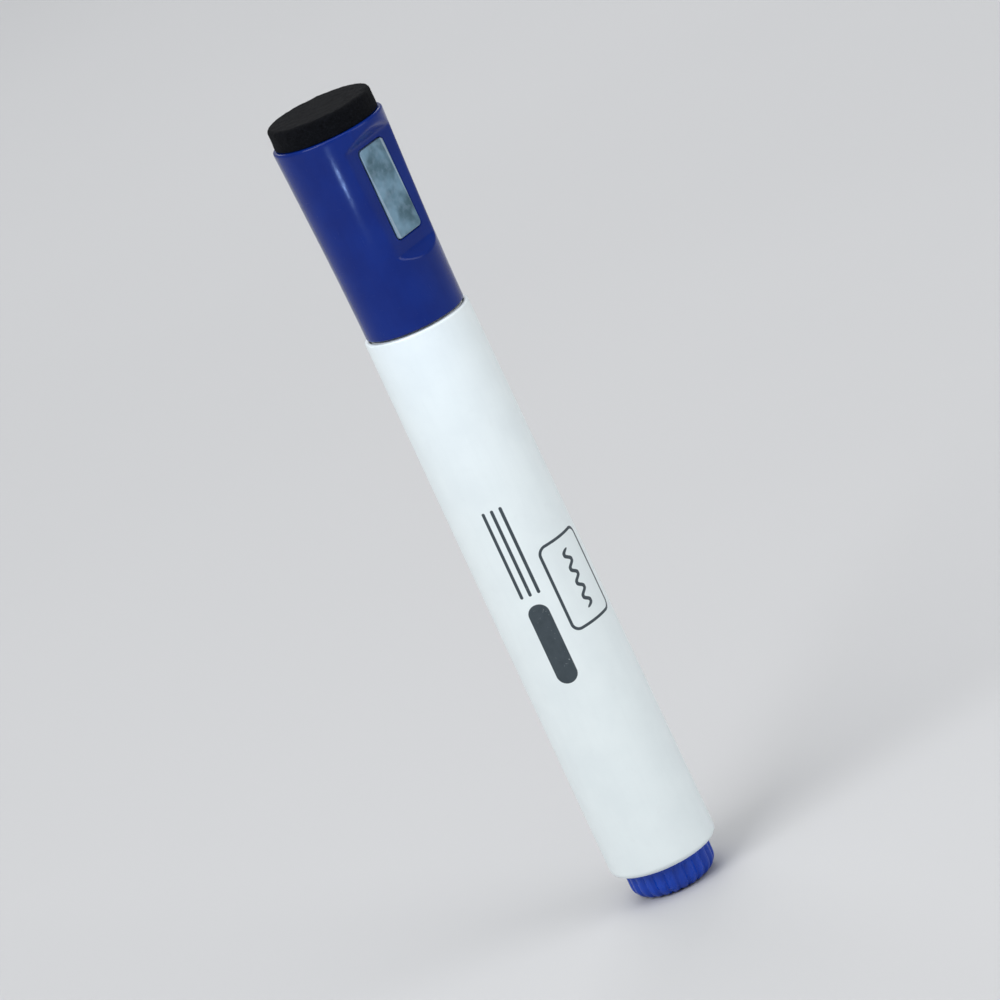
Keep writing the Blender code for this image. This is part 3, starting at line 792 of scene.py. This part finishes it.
def make_nib():
    """Bullet nib, with the grain of its fibres and a side that writing has worn down."""
    rear, tip = nib_low.z, nib_high.z
    shoulder = tip - NIB_TIP_LENGTH
    dome = []
    dome_steps = 2 * ARC_STEPS
    for step in range(dome_steps):
        angle = math.radians(90) * step / dome_steps
        radius = NIB_RADIUS * math.cos(angle) ** NIB_TIP_FULLNESS
        dome.append((radius, shoulder + NIB_TIP_LENGTH * math.sin(angle), 0))
    outline = rounded([
        (0, rear, 0),
        (NIB_RADIUS - NIB_REAR_CHAMFER, rear, EDGE),
        (NIB_RADIUS, rear + 2 * NIB_REAR_CHAMFER, SOFT_EDGE),
        *dome,
        (0, tip, 0),
    ])

    def worn(radius, bearing, height):
        share = max(0.0, (height - shoulder) / NIB_TIP_LENGTH)
        rubbed = share**3 * max(0.0, math.cos(bearing - NIB_WEAR_BEARING))
        return radius + fibre_grain(bearing, height, NIB_GRAIN) - NIB_WEAR * rubbed

    bm = lathed(subdivided(outline, NIB_ROW_HEIGHT), NIB_SIDES, worn)
    material = fibre_material("nib_fibre", NIB_DRY, NIB_WET)
    add_piece("bullet_nib", bm, material, "barrel_body", "nib")


def make_core():
    """Ink core: a rod of drawn fibres with a socket for the nib."""
    low, high = core_low.z, core_high.z
    outline = rounded([
        (0, low, 0),
        (CORE_RADIUS, low, CORE_FILLET),
        (CORE_RADIUS, high, CORE_FILLET),
        (NIB_BORE_RADIUS, high, EDGE),
        (NIB_BORE_RADIUS, high - NIB_SOCKET_DEPTH, 0),
        (0, high - NIB_SOCKET_DEPTH, 0),
    ])

    def grained(radius, bearing, height):
        return radius + fibre_grain(bearing, height, CORE_GRAIN)

    bm = lathed(subdivided(outline, CORE_ROW_HEIGHT), HIDDEN_SIDES, grained)
    material = fibre_material("core_fibre", CORE_DRY, CORE_WET)
    add_piece("fibre_core", bm, material, "barrel_body", "ink_reservoir")


def make_plug():
    """Ribbed cup that closes the tail. The grooves between its ribs run out onto its rounded end."""
    collar = barrel_tail - PLUG_COLLAR_GAP
    cup_radius = PLUG_RADIUS - PLUG_WALL
    flat_radius = PLUG_RADIUS - PLUG_END_FILLET
    outline = rounded([
        (0, GATE_DEPTH, 0),
        (GATE_RADIUS, GATE_DEPTH, EDGE / 3),
        (GATE_RADIUS + EDGE, 0, EDGE / 3),
        (PLUG_RADIUS, 0, PLUG_END_FILLET),
        (PLUG_RADIUS, collar, 0),
        (PLUG_RADIUS, plug_high.z, SOFT_EDGE),
        (cup_radius, plug_high.z, EDGE),
        (cup_radius, PLUG_FLOOR, SOFT_EDGE),
        (0, PLUG_FLOOR, 0),
    ])

    def ribbed(radius, bearing, height):
        is_inside = radius < cup_radius + EDGE / 2 and height > PLUG_FLOOR - SOFT_EDGE
        if is_inside or height > collar or radius < flat_radius:
            return radius
        groove = (0.5 + 0.5 * math.cos(PLUG_RIBS * bearing)) ** PLUG_GROOVE_SHARPNESS
        run_out = min(collar - height, radius - flat_radius, PLUG_GROOVE_RUN_OUT) / PLUG_GROOVE_RUN_OUT
        return radius - PLUG_GROOVE_DEPTH * groove * run_out

    bm = lathed(subdivided(outline, PLUG_ROW_HEIGHT), PLUG_RIBS * PLUG_SIDES_PER_RIB, ribbed)
    add_piece("ribbed_plug", bm, plug_material(), "tail_plug_body", "tail_plug")


# Pieces on the cap


def cap_outer_radius(height):
    """The cap's round outside, which flares towards its rim."""
    share = max(0.0, (height - cap_mouth) / (cap_rim - cap_mouth))
    return CAP_MOUTH_RADIUS + CAP_FLARE * share**CAP_FLARE_POWER


def flat_distance(height):
    """How far the trimmed face is from the axis: the flat, and the ramps above and below it."""
    slope_top = (cap_outer_radius(flat_top) - flat_offset) / FLAT_RAMP_TOP
    slope_bottom = (cap_outer_radius(flat_bottom) - flat_offset) / FLAT_RAMP_BOTTOM
    rise = max((height - flat_top) * slope_top, (flat_bottom - height) * slope_bottom)
    return flat_offset - smooth_min(-rise, 0.0, RAMP_BLEND)


def trimmed(radius, bearing, height):
    """Takes the round outside back to the flat."""
    off = math.remainder(bearing, TURN)
    is_inside = radius < flat_offset + SOFT_EDGE
    is_below = height < flat_bottom - 2 * FLAT_RAMP_BOTTOM
    if is_inside or is_below or abs(off) > FLAT_REACH:
        return radius
    return smooth_min(radius, flat_distance(height) / math.cos(off), FLAT_CORNER)


def flare_heights(bottom, top):
    """Heights of the rows up the cap's outside, which lie close together only at the flat's two ramps."""
    ramps = (
        (flat_bottom - FLAT_RAMP_BOTTOM / 2, FLAT_RAMP_BOTTOM),
        (flat_top + FLAT_RAMP_TOP / 2, FLAT_RAMP_TOP),
    )
    heights = []
    height = bottom
    while height < top:
        is_on_ramp = any(abs(height - middle) < length / 2 + 2 * RAMP_BLEND for middle, length in ramps)
        height += CAP_ROW_HEIGHT if is_on_ramp else CAP_WIDE_ROW_HEIGHT
        heights.append(height)
    return heights[:-1]


def make_cap():
    """Cap with its bore and seats, a web that closes it, a flared outside, and a flat with a pocket in it."""
    web_bottom = seal_high.z + WEB_GAP
    seat_radius = cap_rim_radius - HOLDER_SEAT_WIDTH
    seat_floor = cap_rim - HOLDER_SEAT_DEPTH
    inside = rounded([
        (0, web_bottom, 0),
        (CHAMBER_RADIUS, web_bottom, SOFT_EDGE),
        (CHAMBER_RADIUS, seal_low.z + SHOULDER_DEPTH, 0),
        (SHOULDER_RADIUS, seal_low.z + SHOULDER_DEPTH, EDGE),
        (SHOULDER_RADIUS, seal_low.z, EDGE),
        (CAP_BORE_RADIUS, cap_mouth + CAP_BORE_LENGTH, SOFT_EDGE),
        (CAP_BORE_RADIUS, snap_height + SNAP_WIDTH / 2, 0),
        (CAP_BORE_RADIUS + SNAP_GROOVE_DEPTH, snap_height, SOFT_EDGE),
        (CAP_BORE_RADIUS, snap_height - SNAP_WIDTH / 2, 0),
        (CAP_BORE_RADIUS, cap_mouth, 2 * EDGE),
        (CAP_MOUTH_RADIUS, cap_mouth, 2 * EDGE),
        (CAP_MOUTH_RADIUS, cap_mouth + STRAIGHT_MOUTH, 0),
    ])
    flare_bottom = cap_mouth + STRAIGHT_MOUTH
    flare_top = cap_rim - 2 * CAP_RIM_FILLET
    flare = [Vector((cap_outer_radius(height), height)) for height in flare_heights(flare_bottom, flare_top)]
    top = rounded([
        (cap_outer_radius(flare_top), flare_top, 0),
        (cap_rim_radius, cap_rim, CAP_RIM_FILLET),
        (seat_radius, cap_rim, EDGE),
        (seat_radius, seat_floor, EDGE),
        (CHAMBER_RADIUS, seat_floor, EDGE),
        (CHAMBER_RADIUS, web_bottom + WEB_THICKNESS, SOFT_EDGE),
        (0, web_bottom + WEB_THICKNESS, 0),
    ])
    bm = lathed([*inside, *flare, *top], CAP_SIDES, trimmed)
    cap = add_piece("cap_moulding", bm, cap_material(), "cap_body", "cap_shell")
    carve(cap, pocket_cutter())


def carve(piece, cutter_bm):
    """Takes the cutter's shape out of the piece's mesh for good."""
    mesh = bpy.data.meshes.new("cutter")
    cutter_bm.to_mesh(mesh)
    cutter_bm.free()
    cutter = bpy.data.objects.new("cutter", mesh)
    bpy.context.scene.collection.objects.link(cutter)
    modifier = piece.modifiers.new("carve", "BOOLEAN")
    modifier.operation = "DIFFERENCE"
    modifier.solver = "EXACT"
    modifier.object = cutter
    bpy.context.view_layer.update()
    carved = bpy.data.meshes.new_from_object(piece.evaluated_get(bpy.context.evaluated_depsgraph_get()))
    piece.modifiers.clear()
    piece.data = carved
    carved.set_sharp_from_angle(angle=SHARP_ANGLE)
    bpy.data.objects.remove(cutter)


def rounded_rectangle(width, length, corner):
    """Points of a rectangle with round corners about the magnet's middle, as (x, z)."""
    points = []
    for quarter, (side_x, side_z) in enumerate(((1, 1), (-1, 1), (-1, -1), (1, -1))):
        centre = Vector((side_x * (width / 2 - corner), side_z * (length / 2 - corner) + magnet_middle))
        for step in range(ARC_STEPS + 1):
            angle = math.radians(90) * (quarter + step / ARC_STEPS)
            points.append(centre + corner * Vector((math.cos(angle), math.sin(angle))))
    return points


def stacked(sections):
    """A closed bmesh through outlines like the magnet's, each given as (y, how far outside the magnet's)."""
    bm = bmesh.new()
    rings = []
    for y, growth in sections:
        width = magnet_width + 2 * growth
        length = magnet_length + 2 * growth
        points = rounded_rectangle(width, length, MAGNET_CORNER + growth)
        rings.append([bm.verts.new((x, y, z)) for x, z in points])
    for near, far in zip(rings, rings[1:]):
        for index in range(len(near)):
            after = (index + 1) % len(near)
            bm.faces.new([near[index], near[after], far[after], far[index]])
    bm.faces.new(rings[0])
    bm.faces.new(rings[-1])
    bmesh.ops.recalc_face_normals(bm, faces=bm.faces)
    return bm


def pocket_cutter():
    """The magnet's pocket, with a small chamfer round its mouth."""
    wide = POCKET_GAP + POCKET_LIP
    return stacked([
        (magnet_high.y + POCKET_FLOOR_GAP, POCKET_GAP),
        (-flat_offset + POCKET_LIP, POCKET_GAP),
        (-flat_offset, wide),
        (-cap_rim_radius - wide, wide),
    ])


def make_magnet():
    """Flat magnet with eased edges."""
    sections = []
    for step in range(ARC_STEPS + 1):
        angle = math.radians(90) * step / ARC_STEPS
        sections.append((
            magnet_low.y + MAGNET_EASE * (1 - math.cos(angle)),
            MAGNET_EASE * (math.sin(angle) - 1),
        ))
    sections.append((magnet_high.y - MAGNET_EASE, 0))
    sections.append((magnet_high.y, -MAGNET_EASE))
    add_piece("magnet_plate", stacked(sections), magnet_material(), "cap_body", "magnet")


def make_seal():
    """Soft cup with a sealing lip inside its mouth and a gripping ring outside."""
    low, top = seal_low.z, seal_high.z
    lip = low + SEAL_LIP_RISE
    outline = rounded([
        (0, top - SEAL_CEILING, 0),
        (SEAL_INNER_RADIUS, top - SEAL_CEILING, SOFT_EDGE),
        (SEAL_INNER_RADIUS, lip + SOFT_EDGE, 0),
        (SEAL_INNER_RADIUS - EDGE, lip, EDGE),
        (SEAL_INNER_RADIUS, lip - SOFT_EDGE, 0),
        (SEAL_INNER_RADIUS + EDGE, low, EDGE),
        (SEAL_FLANGE_RADIUS, low, EDGE),
        (SEAL_FLANGE_RADIUS, low + SEAL_FLANGE_THICKNESS, EDGE),
        (SEAL_OUTER_RADIUS, low + SEAL_FLANGE_THICKNESS, EDGE),
        (SEAL_OUTER_RADIUS, low + SEAL_RING_RISE - SOFT_EDGE, 0),
        (SEAL_OUTER_RADIUS + EDGE, low + SEAL_RING_RISE, EDGE),
        (SEAL_OUTER_RADIUS, low + SEAL_RING_RISE + SOFT_EDGE, 0),
        (SEAL_OUTER_RADIUS, top, SOFT_EDGE),
        (0, top, 0),
    ])
    add_piece("seal_cup", lathed(outline, HIDDEN_SIDES), seal_material(), "cap_body", "cap_seal")


def make_felt():
    """Dense round pad with softened edges and a lumpy, matted surface."""
    outline = rounded([
        (0, felt_base, 0),
        (felt_radius, felt_base, EDGE),
        (felt_radius, felt_top, FELT_FILLET),
        (0, felt_top, 0),
    ])
    bm = lathed(subdivided(outline, FELT_ROW_HEIGHT), FELT_SIDES)
    bmesh.ops.recalc_face_normals(bm, faces=bm.faces)
    bm.normal_update()
    for vert in bm.verts:
        if vert.co.z > felt_base + EDGE:
            lumps = noise.noise(vert.co / FELT_LUMP_SIZE) * FELT_LUMPS
            matting = noise.noise(vert.co / FELT_MATTING_SIZE) * FELT_MATTING
            vert.co += vert.normal * (lumps + matting)
    material = felt_material("eraser_felt_black", FELT_DARK, FELT_PAINTED_HIGHLIGHT)
    felt = add_piece("felt_pad", bm, material, "cap_body", "eraser_felt")


def make_fuzz():
    """Loose fibres that stand out of the felt. Each is a thin, curved, closed hair."""
    rng = random.Random(HAIR_SEED)

    def scatter():
        return Vector((rng.gauss(0, 1), rng.gauss(0, 1), rng.gauss(0, 1)))

    bm = bmesh.new()
    for _ in range(HAIR_COUNT):
        bearing = rng.uniform(0, TURN)
        if rng.random() < HAIR_SHARE_ON_SIDE:
            out = around(bearing)
            root = out * (felt_radius - EDGE / 2)
            root.z = rng.uniform(felt_base + EDGE, felt_top - FELT_FILLET / 2)
        else:
            out = Vector((0, 0, 1))
            root = around(bearing) * (felt_radius - FELT_FILLET / 2) * math.sqrt(rng.random())
            root.z = felt_top - EDGE / 2
        heading = (out + HAIR_SPREAD * scatter()).normalized()
        if heading.dot(out) < HAIR_LEAST_RISE:
            heading = (heading + out).normalized()
        curl = HAIR_CURL * scatter()
        add_hair(bm, root, heading, curl, rng.uniform(*HAIR_LENGTHS), rng.uniform(*HAIR_THICKNESSES))
    material = felt_material("eraser_fuzz_black", FUZZ_DARK, FUZZ_PAINTED_HIGHLIGHT)
    add_piece("felt_fuzz", bm, material, "cap_body", "eraser_felt", replaced=False)


def add_hair(bm, root, heading, curl, length, thickness):
    """Adds a tapered hair that starts at its root and bends by its curl."""
    side = heading.orthogonal().normalized()
    place = root
    rings = []
    for step in range(HAIR_STEPS):
        ring = []
        for corner in range(HAIR_SIDES):
            arm = Matrix.Rotation(TURN * corner / HAIR_SIDES, 3, heading) @ side
            ring.append(bm.verts.new(place + arm * thickness * (1 - HAIR_TAPER * step)))
        rings.append(ring)
        heading = (heading + curl / HAIR_STEPS).normalized()
        place = place + heading * length / HAIR_STEPS
    tip = bm.verts.new(place)
    bm.faces.new(reversed(rings[0]))
    for near, far in zip(rings, rings[1:]):
        for corner in range(HAIR_SIDES):
            after = (corner + 1) % HAIR_SIDES
            bm.faces.new([near[corner], near[after], far[after], far[corner]])
    for corner in range(HAIR_SIDES):
        bm.faces.new([rings[-1][corner], rings[-1][(corner + 1) % HAIR_SIDES], tip])


def dress_nodes():
    """The CAD nodes that stay, hidden inside the marker, get materials of their own."""
    materials = {
        "reservoir_film": film_material(),
        "eraser_adhesive": adhesive_material(),
        "eraser_holder": holder_material(),
    }
    for node, material in materials.items():
        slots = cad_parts[node].data.materials
        slots.clear()
        slots.append(material)


# Studio


def direction(bearing, elevation):
    return around(bearing) * math.cos(elevation) + Vector((0, 0, math.sin(elevation)))


def make_camera():
    data = bpy.data.cameras.new("camera")
    data.lens = VIEW_LENS
    camera = bpy.data.objects.new("camera", data)
    aim = Vector((0, 0, felt_high.z / 2))
    camera.location = aim + direction(VIEW_BEARING, VIEW_ELEVATION) * VIEW_DISTANCE
    look = (aim - camera.location).to_track_quat("-Z", "Y").to_matrix()
    camera.rotation_euler = (look @ Matrix.Rotation(-VIEW_LEAN, 3, "Z")).to_euler()
    bpy.context.scene.collection.objects.link(camera)
    bpy.context.scene.camera = camera


def make_floor():
    """The marker stands on its tail plug, so the floor stays under the plug when that is pulled."""
    bm = bmesh.new()
    bmesh.ops.create_circle(bm, cap_ends=True, radius=FLOOR_RADIUS, segments=OUTER_SIDES)
    mesh = bpy.data.meshes.new("floor")
    bm.to_mesh(mesh)
    bm.free()
    floor = bpy.data.objects.new("floor", mesh)
    floor.location.z = -FLOOR_DROP
    bpy.context.scene.collection.objects.link(floor)
    shader = Shader("floor_paint")
    base = shader.mix(shader.noise(0.004), FLOOR_SHADE, FLOOR_PALE)
    shader.set(Base_Color=base, Roughness=FLOOR_ROUGHNESS)
    mesh.materials.append(shader.material)
    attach(floor, "tail_plug_body")


def make_world():
    world = bpy.data.worlds.new("studio")
    world.use_nodes = True
    background = world.node_tree.nodes["Background"]
    background.inputs["Color"].default_value = (*WORLD_COLOUR, 1.0)
    background.inputs["Strength"].default_value = WORLD_BRIGHTNESS
    bpy.context.scene.world = world
    bpy.context.scene.view_settings.view_transform = "Standard"


def link_light(light, from_direction):
    """Turns the light so that it shines from that direction, and adds it to the scene."""
    light.rotation_euler = (-from_direction).to_track_quat("-Z", "Y").to_euler()
    bpy.context.scene.collection.objects.link(light)


def make_overhead_light():
    """Soft light from above, even over the whole floor."""
    data = bpy.data.lights.new("overhead", "SUN")
    data.energy = OVERHEAD_BRIGHTNESS
    data.angle = OVERHEAD_SPREAD
    link_light(bpy.data.objects.new("overhead", data), direction(VIEW_BEARING, OVERHEAD_ELEVATION))


def add_light(name, aim_height, bearing, elevation, distance, size, brightness, colour=(1.0, 1.0, 1.0)):
    """A soft rectangular light aimed at the axis. Angles are in degrees, and bearing 0 is the camera's."""
    width, height = size
    data = bpy.data.lights.new(name, "AREA")
    data.shape = "RECTANGLE"
    data.size = width
    data.size_y = height
    data.energy = brightness * math.pi * width * height
    data.color = colour
    light = bpy.data.objects.new(name, data)
    outward = direction(VIEW_BEARING + math.radians(bearing), math.radians(elevation))
    light.location = Vector((0, 0, aim_height)) + outward * distance
    light.visible_camera = False
    link_light(light, outward)


def make_lights():
    """A key and a fill in front, a light behind, and a tiny blue one close by for the cap's glossy streak."""
    middle = felt_high.z / 2
    add_light("key", middle, bearing=-48, elevation=42, distance=1.1, size=(0.7, 0.7), brightness=4.7)
    add_light("fill", middle, bearing=60, elevation=24, distance=1.2, size=(0.8, 0.8), brightness=2.5)
    add_light("back", middle, bearing=180, elevation=35, distance=1.3, size=(0.9, 0.6), brightness=2.4)
    add_light(
        "streak", STREAK_HEIGHT, bearing=-16, elevation=0, distance=0.05, size=(0.003, 0.0035),
        brightness=90.0, colour=STREAK_BLUE,
    )


make_camera()
make_floor()
make_world()
make_overhead_light()
make_lights()
make_barrel()
make_nose()
make_nib()
make_core()
make_plug()
make_cap()
make_magnet()
make_seal()
make_felt()
make_fuzz()
dress_nodes()
